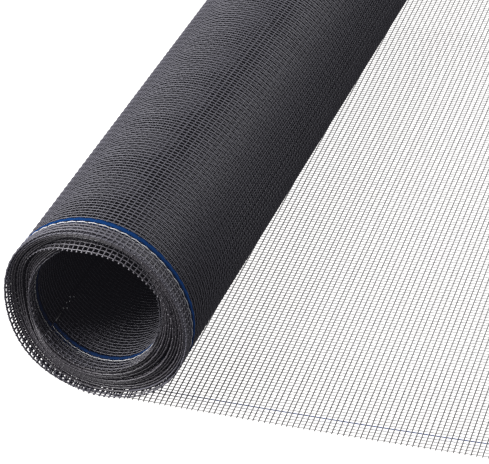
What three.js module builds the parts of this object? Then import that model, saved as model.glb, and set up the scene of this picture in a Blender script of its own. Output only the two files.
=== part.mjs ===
// A roll of fibreglass insect screen lying on its side, with its loose end flat beside it.
// Millimetres, +Z up. The roll's axis runs along Y and the loose end lies towards +X.
// The origin is on the flat spot under the roll, halfway along it.

import * as THREE from 'three';

const CLOTH_WIDTH = 600; // along the roll, from selvedge to selvedge
const ROLL_RADIUS = 27; // to the outside of the last turn where it leaves the bottom of the roll
const BORE_RADIUS = 17.6; // to the inside of the first turn, which is wound on nothing
const BORE_SHIFT = -1; // along X: the turns lie slacker on the right, so the bore sits to the left
const SAG = 0.25; // how far the roll's own weight presses its underside flat
const SHEET_THICKNESS = 1;
const MAIN_TURNS = 6; // whole turns of the wound sheet, each of which stands for two turns of net
const INNER_END = THREE.MathUtils.degToRad(51.5); // from the bottom to where the cloth starts in the bore
const LOOSE_REACH = 190; // from the roll's axis to the cut end of the cloth
const PIECE_GAP = 0.3; // left between the roll and the loose end
const TURN_SEGMENTS = 72; // straight steps in one turn

const FULL_TURN = 2 * Math.PI;
const AXIS_HEIGHT = ROLL_RADIUS - SAG;
const FLAT_ANGLE = Math.acos(AXIS_HEIGHT / ROLL_RADIUS); // from the bottom to each side of the flat spot

// The turns slid along each other as they were wound, so the roll's ends are dished and uneven.
// Each row is a layer of the roll: its radius, and how far its edge lies along Y
// from the selvedge line at the roll's bottom, left, top and right, seen from the near end.
const LAYER_SLIDES = [
  { radius: 18.5, bottom: 0.5, left: -0.4, top: 1.6, right: 1.4 },
  { radius: 21.5, bottom: 0.2, left: 2.2, top: 0.6, right: 0.5 },
  { radius: 24.5, bottom: -0.3, left: 2.6, top: -0.8, right: -1.0 },
  { radius: 26.5, bottom: -0.7, left: 0.8, top: -1.4, right: -1.8 },
];

// The four slides of the layer at a radius, mixed from the two rows that it lies between.
function layerAt(radius) {
  const rows = LAYER_SLIDES;
  const last = rows.length - 1;
  const outer = rows.findIndex((row) => row.radius > radius);
  const next = outer < 0 ? last : Math.max(outer, 1);
  const [from, to] = [rows[next - 1], rows[next]];
  const share = THREE.MathUtils.clamp((radius - from.radius) / (to.radius - from.radius), 0, 1);
  const mix = (side) => THREE.MathUtils.lerp(from[side], to[side], share);
  return { bottom: mix('bottom'), left: mix('left'), top: mix('top'), right: mix('right') };
}

// How far the cloth has slid along Y at a place in the roll's section: the layer's mean,
// a tilt and a two-fold twist that pass through its four values.
function slide(x, z) {
  const angle = Math.atan2(-x, AXIS_HEIGHT - z);
  const { bottom, left, top, right } = layerAt(Math.hypot(x, AXIS_HEIGHT - z));
  const mean = (bottom + left + top + right) / 4;
  const twist = (bottom + top - left - right) / 4;
  const tiltUp = (bottom - top) / 2;
  const tiltAcross = (left - right) / 2;
  return mean + tiltUp * Math.cos(angle) + tiltAcross * Math.sin(angle) + twist * Math.cos(2 * angle);
}

// A point of the roll's section, at a radius and at an angle from its bottom towards its left.
// The deeper it lies in the roll, the further it is shifted sideways with the bore.
function sectionPoint(radius, angle) {
  const depth = (ROLL_RADIUS - radius) / (ROLL_RADIUS - BORE_RADIUS);
  const x = BORE_SHIFT * depth - radius * Math.sin(angle);
  return new THREE.Vector2(x, AXIS_HEIGHT - radius * Math.cos(angle));
}

// Points along part of a spiral, whose radius changes evenly with its angle.
function spiral(fromAngle, toAngle, fromRadius, toRadius) {
  const steps = Math.round((Math.abs(toAngle - fromAngle) / FULL_TURN) * TURN_SEGMENTS);
  return Array.from({ length: steps + 1 }, (_, step) => {
    const share = step / steps;
    const radius = THREE.MathUtils.lerp(fromRadius, toRadius, share);
    return sectionPoint(radius, THREE.MathUtils.lerp(fromAngle, toAngle, share));
  });
}

function solid(name, geometry, material) {
  const mesh = new THREE.Mesh(geometry, material);
  mesh.name = name;
  return mesh;
}

// The wound turns as one body: a sheet wound inwards from the flat spot, with a narrow gap between its turns.
// The outline is the outermost turn, which ends one turn on, above the loose end.
// The hole is the gap and the bore: it follows the inside of the sheet to its inner end,
// crosses that end and follows the outside back to the second turn.
function woundRoll(material) {
  const innerAngle = MAIN_TURNS * FULL_TURN + INNER_END;
  const pitch = ((ROLL_RADIUS - SHEET_THICKNESS - BORE_RADIUS) / innerAngle) * FULL_TURN;
  const outsideAt = (angle) => ROLL_RADIUS - (pitch * angle) / FULL_TURN;
  const insideAt = (angle) => outsideAt(angle) - SHEET_THICKNESS;

  const outermost = spiral(FULL_TURN - FLAT_ANGLE, FLAT_ANGLE, outsideAt(FULL_TURN), ROLL_RADIUS);
  const section = new THREE.Shape([sectionPoint(ROLL_RADIUS, -FLAT_ANGLE), ...outermost]);
  const inside = spiral(0, innerAngle, insideAt(0), insideAt(innerAngle));
  const outside = spiral(innerAngle, FULL_TURN, outsideAt(innerAngle), outsideAt(FULL_TURN));
  section.holes.push(new THREE.Path([...inside, ...outside]));

  const roll = new THREE.ExtrudeGeometry(section, { depth: CLOTH_WIDTH, bevelEnabled: false });
  roll.rotateX(Math.PI / 2);
  roll.translate(0, CLOTH_WIDTH / 2, 0);
  const place = roll.attributes.position;
  for (let i = 0; i < place.count; i++) {
    place.setY(i, place.getY(i) + slide(place.getX(i), place.getZ(i)));
  }
  roll.computeVertexNormals();
  return solid('wound_roll', roll, material);
}

// The end of the cloth that has run off the bottom of the roll and lies flat.
// It starts beside the flat spot, tucked under the turn above it.
function looseEnd(material) {
  const start = ROLL_RADIUS * Math.sin(FLAT_ANGLE) + PIECE_GAP;
  const outline = new THREE.Shape([
    new THREE.Vector2(start, -CLOTH_WIDTH / 2),
    new THREE.Vector2(LOOSE_REACH, -CLOTH_WIDTH / 2),
    new THREE.Vector2(LOOSE_REACH, CLOTH_WIDTH / 2),
    new THREE.Vector2(start, CLOTH_WIDTH / 2),
  ]);
  const sheet = new THREE.ExtrudeGeometry(outline, { depth: SHEET_THICKNESS, bevelEnabled: false });
  return solid('loose_end', sheet, material);
}

const woundScreen = new THREE.MeshStandardMaterial({ color: 0x3a393d, roughness: 0.55, metalness: 0 });
const flatScreen = new THREE.MeshStandardMaterial({ color: 0x4a494d, roughness: 0.55, metalness: 0 });

const insectScreen = new THREE.Group();
insectScreen.add(woundRoll(woundScreen), looseEnd(flatScreen));

export default insectScreen;
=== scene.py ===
import math

import bpy
import numpy as np
from mathutils import Matrix, Vector


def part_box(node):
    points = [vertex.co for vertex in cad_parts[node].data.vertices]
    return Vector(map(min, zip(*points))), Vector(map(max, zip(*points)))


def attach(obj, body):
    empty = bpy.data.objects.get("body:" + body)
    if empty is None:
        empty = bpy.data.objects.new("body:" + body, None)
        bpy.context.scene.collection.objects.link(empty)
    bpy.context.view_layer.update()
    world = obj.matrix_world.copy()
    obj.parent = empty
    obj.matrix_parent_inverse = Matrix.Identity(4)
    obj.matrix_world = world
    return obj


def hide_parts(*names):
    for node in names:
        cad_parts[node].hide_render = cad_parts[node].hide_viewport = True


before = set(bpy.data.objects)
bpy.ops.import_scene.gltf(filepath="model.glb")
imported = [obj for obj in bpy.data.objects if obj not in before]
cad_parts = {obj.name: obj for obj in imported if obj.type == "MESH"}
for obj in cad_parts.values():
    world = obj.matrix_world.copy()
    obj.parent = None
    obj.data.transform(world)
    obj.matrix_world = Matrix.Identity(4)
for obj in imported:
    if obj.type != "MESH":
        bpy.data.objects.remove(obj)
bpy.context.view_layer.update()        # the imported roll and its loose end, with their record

# The imported turns: most of one long cloth of vinyl-coated glass yarn, 18 by 16 yarns to the inch.
# It is wound by hand on nothing, as a loose spiral round an open bore. Only the edges of these turns show,
# so between the yarns at the roll's two ends they are one thin wound band, painted near-black and matte as
# the shade deep between the turns.
MM = 0.001
INCH = 25.4 * MM
FULL_TURN = 2 * math.pi
NEAR_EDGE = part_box("loose_end")[0][1]
CLOTH_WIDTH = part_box("loose_end")[1][1] - NEAR_EDGE
WARP_STEPS = round(CLOTH_WIDTH * 18 / INCH)
WARP_PITCH = CLOTH_WIDTH / WARP_STEPS
WEFT_PITCH = INCH / 16
OUTER_RADIUS = 26.75 * MM    # to the middle of the net, where it leaves the floor
BORE_RADIUS = 18.15 * MM     # to the middle of the net at its inner end
INNER_END = 13 + 51.5 / 360  # in turns from the floor
AXIS_HEIGHT = 26.75 * MM
BORE_SHIFT = -1.0 * MM       # the turns lie slacker on the right
FLOOR_LIFT = 0.41 * MM       # of the middle of the net where it lies flat
RADIUS_LOSS = (OUTER_RADIUS - BORE_RADIUS) / (INNER_END * FULL_TURN)   # with each radian
ACROSS = np.array([0.0, 1.0, 0.0])

# How far each turn slid along the roll, in millimetres. A row is a turn, from the outermost inwards,
# and its numbers go round from the bottom in eighths of a turn, towards the left.
TURN_PARTS = 8
SLIDES = np.array([
    (0.72, 0.7, 2.2, -0.05, -1.4, -2.2, -2.2, -2.3),
    (-0.9, 1.3, 2.9, 0.1, -1.9, -1.95, -1.8, -0.4),
    (1.3, 2.6, 3.9, 0.1, -2.0, -2.0, -1.2, 0.2),
    (2.0, 3.2, 4.5, 0.4, -1.7, -1.7, -1.0, 0.2),
    (2.1, 3.1, 5.0, 0.9, -0.4, -0.8, 0.2, 0.5),
    (1.9, 2.8, 5.4, 1.0, 1.2, 0.3, 0.1, 0.2),
    (1.5, 2.4, 5.8, 0.5, -3.4, -2.9, -0.4, -0.2),
    (1.0, 2.0, 6.2, 2.2, 4.5, 3.5, 1.7, 1.2),
    (0.6, 1.6, 6.5, 2.4, 5.0, 4.2, 1.9, 1.3),
    (0.3, 1.1, 6.5, 2.6, 5.5, 4.6, 2.0, 0.3),
    (0.4, 1.0, 5.6, 2.6, 6.0, 5.2, 2.6, 1.2),
    (0.8, 1.5, 2.6, 2.4, 6.0, 5.6, 3.2, 0.9),
    (1.0, 1.3, 1.6, 1.2, 6.0, 5.6, 2.8, -0.3),
    (0.6, 2.1, 2.1, 2.0, 3.0, 4.0, 3.0, 2.0),
]).ravel() * MM

# Shapes of the turns. A gap has a width, the turn where it begins to open and how much of a turn that takes.
# The others have a height, the turn or the share of a turn where they are highest, and a span in turns.
GAPS = ((0.25 * MM, 3.85, 0.4), (0.6 * MM, 6.9, 0.35))
CURL, CURL_TURN, CURL_SPAN = 0.5 * MM, 6.55, 0.15               # of the seventh turn's edge into the bore
DIP, DIP_TURN, DIP_SPAN = 0.85 * MM, 6.475, 0.06                # of that edge at the top
FLARE, FLARE_SHARE, FLARE_SPAN = 0.5 * MM, 0.2, 0.1             # of the outer turns' edges at the left
SLACK, SLACK_SHARE, SLACK_SPAN = 1.15 * MM, 292 / 360, 1 / 6    # of all turns at the lower right
SLACK_LOSS = 0.6               # share of the slack that is lost from the outermost turn to the innermost
EDGE_REACH, EDGE_MOST = 5 * MM, 1.2    # how far in edges curl and flare, and the limit past the selvedge
BOW, BOW_PLACE, BOW_DEPTH = 0.27, 60 * MM, 0.25 * MM            # of the cloth that is not wound

# Slanting bands along the roll in which the second turn's warps sway under those of the outermost turn
BAND_PITCH = 27.75 * MM
BAND_START, BAND_HEIGHT = -200 * MM, 50 * MM
BAND_PHASE, BAND_WIDENING = 0.785, 0.029
BAND_RISE, BAND_SKEW = 2.0, 0.285
SWAY_FROM, SWAY_TO = 1.2, 1.575                                 # in turns
SWAY_IN, SWAY_OUT = 0.08, 0.06                                  # of a turn, over which it is eased
SWAY_START, SWAY_EASE = 9 * MM, 8 * MM                          # from the near selvedge


def slid(angle):
    """How far the cloth slid along the roll at a winding angle: a cubic between the two numbers of the table
    that it lies between, whose slope at each number is half the step from the one before to the one after."""
    last = len(SLIDES) - 1
    place = np.clip(angle / FULL_TURN * TURN_PARTS, 0, last - 0.001)
    step = place.astype(int)
    share = place - step
    before, here, after, beyond = (SLIDES[np.clip(step + shift, 0, last)] for shift in (-1, 0, 1, 2))
    bend = 2 * before - 5 * here + 4 * after - beyond
    twist = 3 * (here - after) + beyond - before
    return here + share / 2 * (after - before + share * (bend + share * twist))


def length_wound(angle):
    """Length of cloth wound in an angle: the radius falls evenly with the angle, so it is a parabola."""
    return OUTER_RADIUS * angle - RADIUS_LOSS * angle ** 2 / 2


def angle_wound(length):
    """The winding angle after a length of cloth: the parabola of length_wound, solved for the angle."""
    return (OUTER_RADIUS - np.sqrt(OUTER_RADIUS ** 2 - 2 * RADIUS_LOSS * np.maximum(length, 0))) / RADIUS_LOSS


def eased(share):
    """A share held between nought and one and eased at both: three times its square less twice its cube."""
    share = np.clip(share, 0, 1)
    return share ** 2 * (3 - 2 * share)


def turn_radius(angle, across):
    """Radius of the spiral at a winding angle and a distance from the near selvedge. It falls evenly with the
    angle, and by a straight ramp where each gap opens, which the other turns win back evenly. The curl, its
    dip and the flare are bell curves of the turn that fade by a power of the distance from the selvedge.
    The slack is a squared cosine over a third of each turn, and less in the deeper turns."""
    turns = angle / FULL_TURN
    depth = turns / INNER_END
    opened = sum(width * np.clip((turns - start) / ramp, 0, 1) for width, start, ramp in GAPS)
    won_back = depth * sum(width for width, _, _ in GAPS)
    spiral = OUTER_RADIUS - RADIUS_LOSS * angle - opened + won_back
    curl = CURL * np.exp(-((turns - CURL_TURN) / CURL_SPAN) ** 4)
    dip = DIP * np.exp(-((turns - DIP_TURN) / DIP_SPAN) ** 2)
    flare = FLARE * np.exp(-((turns % 1 - FLARE_SHARE) / FLARE_SPAN) ** 2) * np.clip(2 - turns, 0, 1)
    away = np.clip(abs(turns % 1 - SLACK_SHARE) / SLACK_SPAN, 0, 1)
    slack = SLACK * np.cos(away * math.pi / 2) ** 2 * (1 - SLACK_LOSS * depth)
    edge = np.clip(1 - across / EDGE_REACH, 0, EDGE_MOST)
    return spiral - (curl + dip) * edge ** 1.5 + flare * edge ** 2 + slack


def second_turn_sway(turns, across, sideways, yarn, height):
    """How far the second turn's warps sway along the roll under those of the outermost turn: by up to half a
    pitch, as a raised cosine in slanting bands that widen from the near end on. It is eased in and out round
    the turn, and eased in from the near selvedge."""
    along_roll = (yarn - BAND_START) / BAND_PITCH
    slant = (BAND_RISE * (height - BAND_HEIGHT) - BAND_SKEW * sideways) / BAND_PITCH
    bands = BAND_PHASE - along_roll - slant + BAND_WIDENING * along_roll ** 2
    swaying = eased((turns - SWAY_FROM) / SWAY_IN) * eased((SWAY_TO - turns) / SWAY_OUT)
    swaying = swaying * eased((across - SWAY_START) / SWAY_EASE)
    return -0.5 * WARP_PITCH * (0.5 - 0.5 * np.cos(FULL_TURN * bands)) * swaying


def on_cloth(along, across, lift=0.0):
    """Places on the cloth, with its length and outward directions there, from the length that is wound,
    the distance from the near selvedge and the height over the middle of the net. Wound cloth lies on the
    spiral and is pressed flat on the floor. A length below nought is not wound: that cloth lies flat
    towards +X, and bows along the roll as a parabola."""
    along, across, lift = np.broadcast_arrays(along, across, lift)
    angle = angle_wound(along)
    turns = angle / FULL_TURN
    radius = turn_radius(angle, across)
    zero = np.zeros_like(angle)
    outward = np.stack([-np.sin(angle), zero, -np.cos(angle)], -1)
    onward = np.stack([-np.cos(angle), zero, np.sin(angle)], -1)
    unwound = np.maximum(-along, 0)
    bow = np.where(along < 0, BOW * (unwound - BOW_PLACE) ** 2 - BOW_DEPTH, slid(angle))
    sideways = BORE_SHIFT * turns / INNER_END - radius * np.sin(angle) + unwound
    height = np.maximum(AXIS_HEIGHT - radius * np.cos(angle), FLOOR_LIFT)
    yarn = NEAR_EDGE + across + bow
    sway = second_turn_sway(turns, across, sideways, yarn, height)
    return np.stack([sideways, yarn + sway, height], -1) + outward * lift[..., None], onward, outward


def carried(paths, section, swell=1.0):
    """Corners and quads of a four-cornered section carried along each path. A corner is a path's place plus
    the section's two numbers times the path's side and height directions, swollen at each step by a given
    factor. Neighbouring rings are joined and the ends are capped."""
    places, sides, heights = paths
    count, steps, _ = places.shape
    grown = np.broadcast_to(swell, (steps, 2))[None, :, None] * section[None, None]
    corners = places[:, :, None] + sides[:, :, None] * grown[..., :1] + heights[:, :, None] * grown[..., 1:]
    ring = np.arange(count * steps * 4).reshape(count, steps, 4)
    turned = np.roll(ring, -1, axis=2)
    walls = np.stack([ring[:, :-1], turned[:, :-1], turned[:, 1:], ring[:, 1:]], -1)
    caps = np.concatenate([ring[:, 0, ::-1], ring[:, -1]])
    return corners.reshape(-1, 3), np.concatenate([walls.reshape(-1, 4), caps])


def piece(name, parts, materials, node):
    """One object from several corner and quad arrays, smooth shaded, riding on the roll's body.
    Its parts share one material or have one each."""
    starts = np.cumsum([0] + [len(corners) for corners, _ in parts])
    corners = np.concatenate([corners for corners, _ in parts])
    quads = np.concatenate([quads + start for (_, quads), start in zip(parts, starts)])
    mesh = bpy.data.meshes.new(name)
    mesh.vertices.add(len(corners))
    mesh.vertices.foreach_set("co", corners.ravel())
    mesh.loops.add(quads.size)
    mesh.loops.foreach_set("vertex_index", quads.ravel())
    mesh.polygons.add(len(quads))
    mesh.polygons.foreach_set("loop_start", np.arange(0, quads.size, 4))
    mesh.update(calc_edges=True)
    mesh.validate()
    mesh.shade_smooth()
    materials = materials if isinstance(materials, list) else [materials] * len(parts)
    kinds = list(dict.fromkeys(materials))
    for material in kinds:
        mesh.materials.append(material)
    faces = [len(quads) for _, quads in parts]
    indices = np.repeat([kinds.index(material) for material in materials], faces)
    mesh.polygons.foreach_set("material_index", indices.astype(np.int32))
    made = bpy.data.objects.new(name, mesh)
    bpy.context.scene.collection.objects.link(made)
    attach(made, "root")
    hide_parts(node)
    return made


class Socket:
    """An output in a material's nodes. Operators on it add Math nodes, and node() adds any other node."""

    def __init__(self, tree, output=None):
        self.tree = tree
        self.output = output

    def node(self, kind, settings, inputs, output=0):
        """Adds a node, applies its settings, then gives each named input its value or link."""
        made = self.tree.nodes.new(kind)
        for name, value in settings.items():
            setattr(made, name, value)
        for name, value in inputs.items():
            if isinstance(value, Socket):
                self.tree.links.new(value.output, made.inputs[name])
            else:
                made.inputs[name].default_value = value
        return Socket(self.tree, made.outputs[output] if made.outputs else None)

    def maths(self, operation, first, second):
        """Adds a Math node on two values, each a number or a socket."""
        return self.node("ShaderNodeMath", {"operation": operation}, {0: first, 1: second})

    def __add__(self, other):
        return self.maths("ADD", self, other)

    def __radd__(self, other):
        return self.maths("ADD", other, self)

    def __mul__(self, other):
        return self.maths("MULTIPLY", self, other)

    def __rmul__(self, other):
        return self.maths("MULTIPLY", other, self)


def coated_yarn(name, dark, light, gloss, shine=0.75):
    """Vinyl-coated yarn. Its colour is mixed from dark to light by the mean of a coarse and a fine noise,
    its roughness is a base value plus a share of the fine noise, and the fine noise makes its coat uneven."""
    made = bpy.data.materials.new(name)
    made.use_nodes = True
    tree = made.node_tree
    tree.nodes.clear()
    start = Socket(tree)
    place = start.node("ShaderNodeTexCoord", {}, {}, "Object")
    patches = start.node("ShaderNodeTexNoise", {}, {"Vector": place, "Scale": 90.0, "Detail": 3.0})
    grain = start.node("ShaderNodeTexNoise", {}, {"Vector": place, "Scale": 1700.0, "Detail": 2.0})
    colour = start.node("ShaderNodeMix", {"data_type": "RGBA"}, {
        "Factor": patches * 0.5 + grain * 0.5, 6: (*dark, 1), 7: (*light, 1)}, 2)
    bump = start.node("ShaderNodeBump", {}, {"Height": grain, "Strength": 0.25, "Distance": 0.02 * MM})
    surface = start.node("ShaderNodeBsdfPrincipled", {}, {
        "Base Color": colour, "Roughness": gloss + 0.16 * grain, "Normal": bump, "Specular IOR Level": shine})
    start.node("ShaderNodeOutputMaterial", {}, {"Surface": surface})
    return made


TURNS_BEFORE = np.array([1, 2, 12])     # before the second turn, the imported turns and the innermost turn
FIRST_WEFTS = np.ceil(length_wound(TURNS_BEFORE * FULL_TURN) / WEFT_PITCH).astype(int)
SECOND_START, PACKED_START, BORE_START = FIRST_WEFTS
EDGE_WARPS = 6
EDGE = EDGE_WARPS * WARP_PITCH
SQUARE = np.array([(-1, -1), (1, -1), (1, 1), (-1, 1)])
BAND_SECTION = SQUARE * (CLOTH_WIDTH / 2 - EDGE, 0.1 * MM)
# The band's yarn is near-black and has no sheen: painted shade, standing for the dark holes between the
# deeper turns.
painted_shade_packed_yarn = coated_yarn("painted_shade_packed_yarn", (0.006, 0.006, 0.007), (0.014, 0.014, 0.016), 0.6, 0.0)
band_lengths = np.arange(PACKED_START, BORE_START)[None] * WEFT_PITCH
band_places, _, band_outward = on_cloth(band_lengths, CLOTH_WIDTH / 2)
band_sides = np.broadcast_to(ACROSS, band_places.shape)
piece("packed_turns", [carried((band_places, band_sides, band_outward), BAND_SECTION)],
      painted_shade_packed_yarn, "wound_roll")

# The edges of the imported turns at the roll's two ends: warps run along the cloth, over and under the wefts,
# and their coats are welded where they cross. A weft's cut tip stands out of the selvedge as a coated knob.
# At the top of the near end the seventh turn slid out, and its edge hangs open over the bore.
DIAMOND = np.array([(1, 0), (0, 1), (-1, 0), (0, -1)])   # corners, in half widths and half thicknesses
WARP_SECTION = DIAMOND * (0.20 * MM, 0.13 * MM)
WEFT_SECTION = DIAMOND * (0.19 * MM, 0.09 * MM)
FULL_SECTION = DIAMOND * (0.50 * MM, 0.18 * MM)          # of a selvedge warp that is full of coating
EDGE_SECTION = FULL_SECTION * (1, 1.4)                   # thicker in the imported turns
HANGING_WARP_SECTION = WARP_SECTION * 1.15
HANGING_WEFT_SECTION = WEFT_SECTION * 1.25
CRIMP = 0.08 * MM                 # of a warp over and under the wefts
SELVEDGE_WARPS = 3
WHITE_WARP, BLUE_WARP = 3, 4      # numbers of the marker yarns, from the near selvedge
ROLL_LEAN = 0.017                 # of the wefts from the roll's axis
LEAN_BACK = 9.3 * MM              # about what that comes to at the near end
SLIPS = ((-0.32, 300, 120), (0.4, 541, 14), (0.5, 566, 16))   # in pitches, from which angle and over which
SLIP_ACROSS = 50 * MM             # from the near selvedge, where these angles hold
SLIP_TURN = 90                    # degrees that they move on in a metre
HANGING_TURN = 6                  # the seventh, counted from nought
HANGING_FROM, HANGING_TO = 125, 262   # in degrees from the bottom, towards the left
STUB = 0.75 * MM                  # of a weft past the selvedge
KNOB = (-STUB, -0.75 * STUB, -0.3 * STUB, 0.3 * MM)   # places along a stub
KNOB_SWELL = ((1.05, 1.05), (1.5, 1.5), (1.1, 1.1), (1.0, 1.0))
SHORT_STUB = 0.45 * MM            # of a weft in a full selvedge
SHORT_KNOB = (-SHORT_STUB, -0.6 * SHORT_STUB, 0.4 * MM, 2.9 * MM, 4.4 * MM)
SHORT_SWELL = ((1.5, 2.4), (1.8, 3.0), (1.7, 3.0), (1.5, 2.6), (1.0, 1.0))
WEFT_FIRST, WEFT_LAST = -140, 1260    # numbers of the wefts, from the roll's foot
chance = np.random.default_rng(16)
warp_drift = chance.normal(0, 0.035 * MM, WARP_STEPS + 1)
weft_drift = chance.normal(0, 0.05 * MM, WEFT_LAST - WEFT_FIRST + 1)
grey_warps = np.setdiff1d(np.arange(WARP_STEPS + 1), [WHITE_WARP, BLUE_WARP])
near_warps = grey_warps[grey_warps < EDGE_WARPS]
far_warps = grey_warps[grey_warps > WARP_STEPS - EDGE_WARPS]
all_winding = np.degrees(angle_wound(np.arange(WEFT_FIRST, WEFT_LAST + 1) * WEFT_PITCH - LEAN_BACK))


def winding(wefts):
    """Winding angles of wefts at the near end, in degrees."""
    return all_winding[wefts - WEFT_FIRST]


def weft_slip(wefts, across):
    """How far wefts slipped along the cloth: in eased steps at winding angles that move on a little
    from the near selvedge to the far one."""
    place = winding(wefts) - SLIP_TURN * (across - SLIP_ACROSS)
    return WEFT_PITCH * sum(slip * eased((place - start) / span) for slip, start, span in SLIPS)


def warp_place(warps):
    """Distances of warps from the near selvedge: a number of pitches, and each yarn's drift in weaving."""
    return warps * WARP_PITCH + warp_drift[warps]


def weft_length(wefts, across):
    """Lengths of wound cloth at wefts: a number of pitches, with their drift and slip,
    less their lean from the far selvedge."""
    drift = weft_drift[wefts - WEFT_FIRST] + weft_slip(wefts, across)
    return wefts * WEFT_PITCH + drift - ROLL_LEAN * (CLOTH_WIDTH - across)


def wound_warps(warps, wefts):
    """Paths of warps that pass over and under each weft in turn: arrays of places, sides and heights."""
    warps, wefts = np.meshgrid(warps, wefts, indexing="ij")
    across = warp_place(warps)
    lift = CRIMP * (1 - 2 * ((warps + wefts) % 2))
    places, _, outward = on_cloth(weft_length(wefts, across), across, lift)
    return places, np.broadcast_to(ACROSS, places.shape), outward


def wound_wefts(wefts, stations, sink=0.0):
    """Paths of wefts across the cloth, through places at given distances from the near selvedge,
    sunk a little towards the roll's axis."""
    wefts, across = np.meshgrid(wefts, stations, indexing="ij")
    places, onward, outward = on_cloth(weft_length(wefts, across), across, -sink)
    return places, -onward, outward


def lying_edge(wefts):
    """The yarns of a run of turns that lie close at the near end: full selvedge warps, plain warps, wefts."""
    return [carried(wound_warps(near_warps[:SELVEDGE_WARPS], wefts), EDGE_SECTION),
            carried(wound_warps(near_warps[SELVEDGE_WARPS:], wefts), WARP_SECTION),
            carried(wound_wefts(wefts, [*SHORT_KNOB, EDGE]), WEFT_SECTION, [*SHORT_SWELL, (1, 1)])]


def hanging_edge(wefts):
    """The yarns of the turn that hangs open: plain warps, and wefts that end in knobs."""
    return [carried(wound_warps(near_warps, wefts), HANGING_WARP_SECTION),
            carried(wound_wefts(wefts, [*KNOB, 2 * MM, 5 * MM, EDGE]), HANGING_WEFT_SECTION,
                    [*KNOB_SWELL, *np.ones((3, 2))])]


# The ends' yarn is the charcoal cloth made darker: painted shade on the turns' edges deep in the roll's ends.
painted_shade_edge_yarn = coated_yarn("painted_shade_edge_yarn", (0.031, 0.0281, 0.0336), (0.064, 0.058, 0.0693), 0.36)
# The hanging edge's yarn is the charcoal cloth made lighter: painted light on the edge that hangs out into
# the lamp's light.
painted_light_lattice_yarn = coated_yarn("painted_light_lattice_yarn", (0.072, 0.068, 0.078), (0.144, 0.136, 0.156), 0.32)
edge_wefts = np.arange(PACKED_START, BORE_START + 1)
turn, part_turn = np.divmod(winding(edge_wefts), 360)
hangs = (turn == HANGING_TURN) & (part_turn > HANGING_FROM) & (part_turn < HANGING_TO)
runs = np.split(edge_wefts, np.flatnonzero(np.diff(hangs)) + 1)
lying_runs = [run for run in runs if not hangs[run[0] - edge_wefts[0]]]
hanging_runs = [run for run in runs if hangs[run[0] - edge_wefts[0]]]
piece("near_edge_turns", [part for run in lying_runs for part in lying_edge(run)],
      painted_shade_edge_yarn, "wound_roll")
piece("hanging_edge", [part for run in hanging_runs for part in hanging_edge(run)],
      painted_light_lattice_yarn, "wound_roll")
piece("far_edge_turns", [
    carried(wound_warps(far_warps, edge_wefts[::2]), WARP_SECTION),
    carried(wound_wefts(edge_wefts, [CLOTH_WIDTH - EDGE, CLOTH_WIDTH + STUB]), WEFT_SECTION),
], painted_shade_edge_yarn, "wound_roll")

# The innermost turn: the start of the cloth, whose inner face is the wall of the bore.
# It is the same net, and it is woven yarn by yarn as deep as the bore can be looked into from either end.
# Its wefts lie a little behind its warps as seen from inside.
BORE_SEEN = 80 * MM
FAR_WARPS_SEEN = 56
BORE_WEFT_SINK = -0.05 * MM
LAST_WEFT = int((length_wound(INNER_END * FULL_TURN) + ROLL_LEAN * CLOTH_WIDTH) / WEFT_PITCH)
shaded_yarn = coated_yarn("shaded_yarn", (0.033, 0.0315, 0.040), (0.066, 0.063, 0.080), 0.45)
bore_wefts = np.arange(BORE_START, LAST_WEFT + 1)
bore_near_warps = grey_warps[grey_warps * WARP_PITCH < BORE_SEEN]
bore_far_warps = WARP_STEPS - np.arange(FAR_WARPS_SEEN)
piece("bore_turn", [
    carried(wound_warps(bore_near_warps, bore_wefts), WARP_SECTION),
    carried(wound_wefts(bore_wefts, [*KNOB, 2 * MM, 5 * MM, 10 * MM, BORE_SEEN], BORE_WEFT_SINK),
            WEFT_SECTION, [*KNOB_SWELL, *np.ones((4, 2))]),
    carried(wound_warps(bore_far_warps, bore_wefts[::2]), WARP_SECTION),
    carried(wound_wefts(bore_wefts, [CLOTH_WIDTH - BORE_SEEN, CLOTH_WIDTH + STUB]), WEFT_SECTION),
], shaded_yarn, "wound_roll")

# The second turn: net from end to end of the roll, which shows through the gaps of the outermost turn.
# Its selvedge warps are narrow up to the left of the near end, and full of coating from there on, over the
# top. Its warps have a place at every second weft alone, so they lie without their crimp.
WEFT_START = 4 * MM               # from the near selvedge, where full stubs pass into plain wefts
NARROW, WIDENING = 0.4, 0.9       # of the selvedge warps, as shares of their section's width
WIDENING_FROM, WIDENING_SPAN = 470, 40   # in degrees
# One charcoal cloth in two tones: the warps and weft stubs are lighter, a painted highlight along the warps,
# and the wefts are darker, painted shade.
charcoal_painted_highlight_yarn = coated_yarn("charcoal_painted_highlight_yarn", (0.0445, 0.0428, 0.0533), (0.088, 0.0847, 0.1055), 0.40, 0.5)
weft_painted_shade_yarn = coated_yarn("weft_painted_shade_yarn", (0.024, 0.0236, 0.030), (0.050, 0.050, 0.061), 0.42, 0.3)
second_wefts = np.arange(SECOND_START, PACKED_START + 1)
fullness = NARROW + WIDENING * eased((winding(second_wefts[::2]) - WIDENING_FROM) / WIDENING_SPAN)
piece("second_turn", [
    carried(wound_warps(grey_warps[:SELVEDGE_WARPS], second_wefts[::2]), FULL_SECTION,
            np.stack([fullness, np.ones_like(fullness)], -1)),
    carried(wound_warps(grey_warps[SELVEDGE_WARPS:], second_wefts[::2]), WARP_SECTION),
    carried(wound_wefts(second_wefts, SHORT_KNOB), WEFT_SECTION, SHORT_SWELL),
    carried(wound_wefts(second_wefts, np.linspace(WEFT_START, CLOTH_WIDTH + STUB, 10)), WEFT_SECTION),
], [charcoal_painted_highlight_yarn, charcoal_painted_highlight_yarn, charcoal_painted_highlight_yarn, weft_painted_shade_yarn], "wound_roll")

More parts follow.
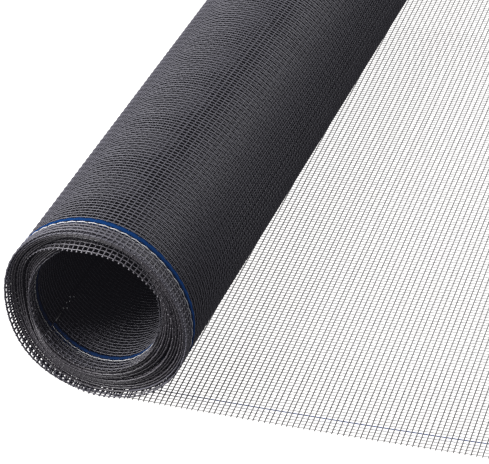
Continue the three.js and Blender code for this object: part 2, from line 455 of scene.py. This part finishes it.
# The outermost turn: the net on the outside of the roll, made in two halves along it.
# Its first weft lies under the roll, where the loose end takes over. At the lower right of the near end its
# edge stands clear of the other turns, with thinner selvedge warps and with wefts that end in long knobs.
FIRST_WEFT = 3
HALF_WARPS = WARP_STEPS // 2
THINNING, THINNING_FROM, THINNING_SPAN = 0.35, 285, 20   # a share, and two angles in degrees
FRINGE_FROM = 295                 # in degrees
OUTER_WEFT_SINK = 0.09 * MM
SELVEDGE_SECTION = DIAMOND * (0.30 * MM, 0.32 * MM)
FRINGE_WEFT_SECTION = WEFT_SECTION * 1.2
outer_wefts = np.arange(FIRST_WEFT, SECOND_START + 1)
outer_plain_warps = grey_warps[(grey_warps >= SELVEDGE_WARPS) & (grey_warps <= HALF_WARPS)]
thinned = (1 - THINNING * eased((winding(outer_wefts) - THINNING_FROM) / THINNING_SPAN))[:, None]
fringed = winding(outer_wefts) > FRINGE_FROM
near_stations = np.linspace(WEFT_START, HALF_WARPS * WARP_PITCH, 6)
far_stations = np.linspace(HALF_WARPS * WARP_PITCH, CLOTH_WIDTH + STUB, 8)
piece("outer_turn_near", [
    carried(wound_warps(grey_warps[:SELVEDGE_WARPS], outer_wefts), SELVEDGE_SECTION, thinned),
    carried(wound_warps(outer_plain_warps, outer_wefts), WARP_SECTION),
    carried(wound_wefts(outer_wefts[~fringed], SHORT_KNOB, OUTER_WEFT_SINK), WEFT_SECTION, SHORT_SWELL),
    carried(wound_wefts(outer_wefts[fringed], [*KNOB, SHORT_KNOB[-1]], OUTER_WEFT_SINK),
            FRINGE_WEFT_SECTION, [*KNOB_SWELL, (1, 1)]),
    carried(wound_wefts(outer_wefts, near_stations, OUTER_WEFT_SINK), WEFT_SECTION),
], [charcoal_painted_highlight_yarn, charcoal_painted_highlight_yarn, charcoal_painted_highlight_yarn, charcoal_painted_highlight_yarn, weft_painted_shade_yarn], "wound_roll")
piece("outer_turn_far", [
    carried(wound_warps(grey_warps[grey_warps > HALF_WARPS], outer_wefts), WARP_SECTION),
    carried(wound_wefts(outer_wefts, far_stations, OUTER_WEFT_SINK), WEFT_SECTION),
], [charcoal_painted_highlight_yarn, weft_painted_shade_yarn], "wound_roll")

# The inner end of the cloth, cut across inside the bore: a few warps end there in short white tips,
# painted highlight specks, and beside them the last weft is a pale line, a painted highlight.
# Both stand a little proud of the net, towards the roll's axis.
TIP_SECTION = DIAMOND * (0.22 * MM, 0.16 * MM)
TIP_LENGTH = 0.45 * MM
TIP_SINK = 0.34 * MM
CUT_LINE = np.array([6.6, 12.6]) * MM   # from the near selvedge
CUT_LINE_SINK = 0.22 * MM
GLINT_WARPS = np.array([9, 10, 11, 12, 13, 14])[:, None]
GLINT_REACH = np.array([0.1, -0.9, 0.2, -0.3, 0.3, -0.7])[:, None] * MM   # of each tip past the last weft
glint_tip_yarn = coated_yarn("glint_tip_yarn", (0.70, 0.70, 0.70), (0.85, 0.85, 0.85), 0.3)
# This lighter yarn is painted light: the cut line and the loose end's warps carry it as a painted highlight.
lit_yarn = coated_yarn("lit_yarn", (0.160, 0.157, 0.156), (0.255, 0.252, 0.249), 0.36)
tip_across = warp_place(GLINT_WARPS)
tip_starts = weft_length(np.full_like(GLINT_WARPS, LAST_WEFT), tip_across) + GLINT_REACH
tip_lengths = tip_starts + np.array([0, TIP_LENGTH])
tip_places, _, tip_outward = on_cloth(tip_lengths, tip_across, -TIP_SINK)
piece("cut_end_glints", [
    carried((tip_places, np.broadcast_to(ACROSS, tip_places.shape), tip_outward), TIP_SECTION),
    carried(wound_wefts(np.array([LAST_WEFT]), CUT_LINE, CUT_LINE_SINK), WEFT_SECTION),
], [glint_tip_yarn, lit_yarn], "wound_roll")

# The marker yarns of the roll: a broad blue one and a fine white one, woven in as warps near the selvedge.
# They run through every turn. Inside the bore each is darker, painted shade of the bore,
# so each is made in two lengths: the outer turns, and then what the bore shows.
BLUE_SECTION = DIAMOND * (0.95 * MM, 0.16 * MM)
WHITE_SECTION = DIAMOND * (0.24 * MM, 0.16 * MM)
PINCH = (0.2, 0.5)   # of the white yarn where it dips under a weft
blue_yarn = coated_yarn("blue_yarn", (0.002, 0.020, 0.085), (0.004, 0.034, 0.131), 0.5, 0.0)
painted_shade_blue_yarn = coated_yarn("painted_shade_blue_yarn", (0.003, 0.0145, 0.055), (0.006, 0.025, 0.085), 0.5, 0.0)
white_yarn = coated_yarn("white_yarn", (0.32, 0.32, 0.335), (0.46, 0.46, 0.48), 0.4)
painted_shade_white_yarn = coated_yarn("painted_shade_white_yarn", (0.225, 0.225, 0.235), (0.32, 0.32, 0.335), 0.4)
marker_runs = [(FIRST_WEFT, BORE_START), (BORE_START, LAST_WEFT)]


def white_marker(first, last):
    """The white marker between two wefts: a ring at every quarter pitch, whose height swings over and under
    the wefts as a cosine, and which is pinched thin where it dips under every second weft."""
    quarters = np.arange(4 * first, 4 * last + 1)[None]
    across = warp_place(np.array([[WHITE_WARP]]))
    length = weft_length(quarters // 4, across) + quarters % 4 / 4 * WEFT_PITCH
    places, _, outward = on_cloth(length, across, CRIMP * np.cos((quarters / 4 + WHITE_WARP) * math.pi))
    swell = np.ones((quarters.size, 2))
    swell[(quarters[0] + 4 * WHITE_WARP) % 8 == 4] = PINCH
    return carried((places, np.broadcast_to(ACROSS, places.shape), outward), WHITE_SECTION, swell)


piece("blue_marker_wound", [
    carried(wound_warps(np.array([BLUE_WARP]), np.arange(first, last + 1)), BLUE_SECTION)
    for first, last in marker_runs], [blue_yarn, painted_shade_blue_yarn], "wound_roll")
piece("white_marker_wound", [white_marker(first, last) for first, last in marker_runs],
      [white_yarn, painted_shade_white_yarn], "wound_roll")

# The loose end: the last stretch of the cloth, run off the bottom of the roll and lying flat to its cut end.
# Its wefts lie askew and lean more than those on the roll, and each stands on edge.
# The markers run on through it. Past the near part of the cloth the warps are drawn without their crimp.
CUT_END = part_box("loose_end")[1][0]
SHEET_LEAN = 0.042            # of the wefts
CRIMPED_WIDTH = 240 * MM      # from the near selvedge
LOOSE_CRIMP = 0.05 * MM
LOOSE_WARP_SECTION = DIAMOND * (0.16 * MM, 0.09 * MM)
FAR_LOOSE_WARP_SECTION = LOOSE_WARP_SECTION * 0.85
LOOSE_WEFT_SECTION = DIAMOND * (0.15 * MM, 0.36 * MM)
LOOSE_BLUE_SECTION = DIAMOND * (0.24 * MM, 0.12 * MM)
WEFT_STATIONS = 12
WEFT_SWELL = np.linspace(1.12, 0.85, WEFT_STATIONS)[:, None]   # from the near selvedge to the far one
STRAIGHT_STATIONS = 9         # along a warp without crimp
END_MARGIN = 0.1              # in pitches, from a warp's ends to its first and last crossing
SHORTEST_WEFT = 2 * MM
# The loose end's wefts and blue marker are lighter than the same yarns on the roll: painted light. Its warps
# carry the lighter still, painted highlight yarn.
painted_light_loose_yarn = coated_yarn("painted_light_loose_yarn", (0.138, 0.136, 0.138), (0.214, 0.211, 0.214), 0.36)
painted_light_blue_yarn = coated_yarn("painted_light_blue_yarn", (0.012, 0.038, 0.128), (0.022, 0.055, 0.172), 0.5, 0.2)


def sheet_start(across):
    """How far out from the roll's foot the loose end starts: at the roll's first weft, which leans."""
    return ROLL_LEAN * (CLOTH_WIDTH - across) - FIRST_WEFT * WEFT_PITCH


def loose_warps(warps, crimped):
    """Paths of warps from the roll to the cut end. They pass over and under each weft in turn, and a weft
    crosses a warp at its number of pitches, plus its drift and less its lean. Without crimp, they are
    straight between a few places."""
    across = warp_place(warps)
    first = np.floor((sheet_start(across) + SHEET_LEAN * across) / WEFT_PITCH + END_MARGIN).astype(int) + 1
    last = np.floor((CUT_END + SHEET_LEAN * across) / WEFT_PITCH - END_MARGIN).astype(int)
    numbers = first[:, None] + np.arange((last - first + 1).min())
    crossings = numbers * WEFT_PITCH + weft_drift[numbers] - SHEET_LEAN * across[:, None]
    cut_ends = np.full((len(warps), 1), CUT_END)
    reach = np.concatenate([sheet_start(across)[:, None], crossings, cut_ends], axis=1)
    lift = np.pad(LOOSE_CRIMP * (1 - 2 * ((warps[:, None] + numbers) % 2)), ((0, 0), (1, 1)))
    if not crimped:
        keep = np.unique(np.linspace(0, reach.shape[1] - 1, STRAIGHT_STATIONS).astype(int))
        reach, lift = reach[:, keep], 0.0
    places, _, outward = on_cloth(-reach, across[:, None], lift)
    return places, np.broadcast_to(-ACROSS, places.shape), outward


def loose_wefts():
    """Paths of wefts that lean across the loose end. Each starts at the near selvedge, or where it leans in
    past the cut end, and stops at the far selvedge, or where it meets the roll's first weft."""
    first = math.ceil(sheet_start(0) / WEFT_PITCH)
    last = math.floor((CUT_END + SHEET_LEAN * CLOTH_WIDTH) / WEFT_PITCH)
    numbers = np.arange(first + 1, last)
    reach = numbers * WEFT_PITCH + weft_drift[numbers]
    low = np.maximum((reach - CUT_END) / SHEET_LEAN, -SHORT_STUB)
    high = np.minimum((reach - sheet_start(0)) / (SHEET_LEAN - ROLL_LEAN), CLOTH_WIDTH + STUB)
    long_enough = high - low > SHORTEST_WEFT
    reach, low, high = (values[long_enough, None] for values in (reach, low, high))
    across = low + (high - low) * np.linspace(0, 1, WEFT_STATIONS)
    places, onward, outward = on_cloth(SHEET_LEAN * across - reach, across)
    return places, -onward, outward


is_crimped = grey_warps * WARP_PITCH < CRIMPED_WIDTH
loose_net = piece("loose_net", [
    carried(loose_warps(grey_warps[is_crimped], True), LOOSE_WARP_SECTION),
    carried(loose_warps(grey_warps[~is_crimped], False), FAR_LOOSE_WARP_SECTION),
    carried(loose_wefts(), LOOSE_WEFT_SECTION, WEFT_SWELL),
], [lit_yarn, lit_yarn, painted_light_loose_yarn], "loose_end")
blue_path = loose_warps(np.array([BLUE_WARP]), False)
white_path = loose_warps(np.array([WHITE_WARP]), True)
blue_loose = piece("blue_marker_loose", [carried(blue_path, LOOSE_BLUE_SECTION)],
                   painted_light_blue_yarn, "loose_end")
white_loose = piece("white_marker_loose", [carried(white_path, WHITE_SECTION)],
                    white_yarn, "loose_end")
CUT_END - sheet_start(CLOTH_WIDTH / 2)

# The studio: a plain pale floor that glows evenly, so that it stays white under the net, in a dim white room.
# The floor throws no light on the roll. A large soft lamp stands at the left, a smaller one behind at the
# right, and a weak one low in front of the near end.
FLOOR_HALF = 3
ROOM_LIGHT = 0.2
FLOOR_GLOW = 1.15
floor_corners = [(-FLOOR_HALF, -FLOOR_HALF, 0), (FLOOR_HALF, -FLOOR_HALF, 0),
                 (FLOOR_HALF, FLOOR_HALF, 0), (-FLOOR_HALF, FLOOR_HALF, 0)]
floor_mesh = bpy.data.meshes.new("floor")
floor_mesh.from_pydata(floor_corners, [], [(0, 1, 2, 3)])
floor = bpy.data.objects.new("floor", floor_mesh)
bpy.context.scene.collection.objects.link(floor)
floor.visible_diffuse = False
floor.visible_glossy = False
floor_paint = bpy.data.materials.new("pale_floor")
floor_paint.use_nodes = True
shader = floor_paint.node_tree.nodes["Principled BSDF"]
shader.inputs["Base Color"].default_value = (0.12, 0.12, 0.12, 1)
shader.inputs["Roughness"].default_value = 0.9
shader.inputs["Emission Color"].default_value = (1, 0.985, 0.975, 1)
shader.inputs["Emission Strength"].default_value = FLOOR_GLOW
floor_paint.cycles.emission_sampling = "NONE"
floor_mesh.materials.append(floor_paint)

world = bpy.data.worlds.new("studio")
world.use_nodes = True
background = world.node_tree.nodes["Background"]
background.inputs["Color"].default_value = (1, 1, 1, 1)
background.inputs["Strength"].default_value = ROOM_LIGHT
bpy.context.scene.world = world


def soft_lamp(name, size, energy, place, aim):
    """A square lamp of a given size in metres and energy in watts, at a place and turned towards another."""
    lamp = bpy.data.lights.new(name, "AREA")
    lamp.shape = "RECTANGLE"
    lamp.size = size
    lamp.size_y = size
    lamp.energy = energy
    made = bpy.data.objects.new(name, lamp)
    made.location = place
    made.rotation_euler = (Vector(aim) - Vector(place)).to_track_quat("-Z", "Y").to_euler()
    bpy.context.scene.collection.objects.link(made)


soft_lamp("softbox", 1.6, 76, (-1.15, -0.8, 1.15), (0, -0.1, 0))
soft_lamp("back_softbox", 1.2, 28, (0.9, 0.9, 1.1), (0.1, 0, 0))
soft_lamp("front_softbox", 0.5, 4, (-0.65, -1.28, 0.26), (0, -0.28, 0.02))

# The camera looks down on the near end from the front right, with a long lens, at the photograph's angle.
# Its axes come from its turn about the upright, its dip below the level and its roll about its line of sight.
# Yarns are about a pixel wide, so pixels are filtered narrowly, and the blacks are lifted a little.
CAMERA_PLACE = (0.2422, -0.8780, 0.4235)
AZIMUTH, ELEVATION, ROLL = 0.3312, 0.5376, -0.0302   # in radians
SENSOR_WIDTH = 36        # in millimetres
PICTURE_WIDTH = 489      # in pixels
FOCAL_LENGTH = 2743.0    # in pixels
level = np.array([math.cos(AZIMUTH), math.sin(AZIMUTH), 0])
ahead = np.array([-math.sin(AZIMUTH), math.cos(AZIMUTH), 0])
upright = np.array([0, 0, 1])
forward = ahead * math.cos(ELEVATION) - upright * math.sin(ELEVATION)
above = ahead * math.sin(ELEVATION) + upright * math.cos(ELEVATION)
right = level * math.cos(ROLL) + above * math.sin(ROLL)
up = above * math.cos(ROLL) - level * math.sin(ROLL)
lens = bpy.data.cameras.new("camera")
lens.sensor_width = SENSOR_WIDTH
lens.lens = SENSOR_WIDTH * FOCAL_LENGTH / PICTURE_WIDTH
lens.clip_start = 0.05
camera = bpy.data.objects.new("camera", lens)
camera.matrix_world = Matrix([*np.column_stack([right, up, -forward, CAMERA_PLACE]), (0, 0, 0, 1)])
bpy.context.scene.collection.objects.link(camera)
bpy.context.scene.camera = camera
bpy.context.scene.cycles.filter_width = 1.35
bpy.context.scene.cycles.use_denoising = False
view_settings = bpy.context.scene.view_settings
view_settings.view_transform = "Standard"
view_settings.use_curve_mapping = True
view_settings.curve_mapping.black_level = (-0.0044, -0.0042, -0.0054)
view_settings.curve_mapping.update()
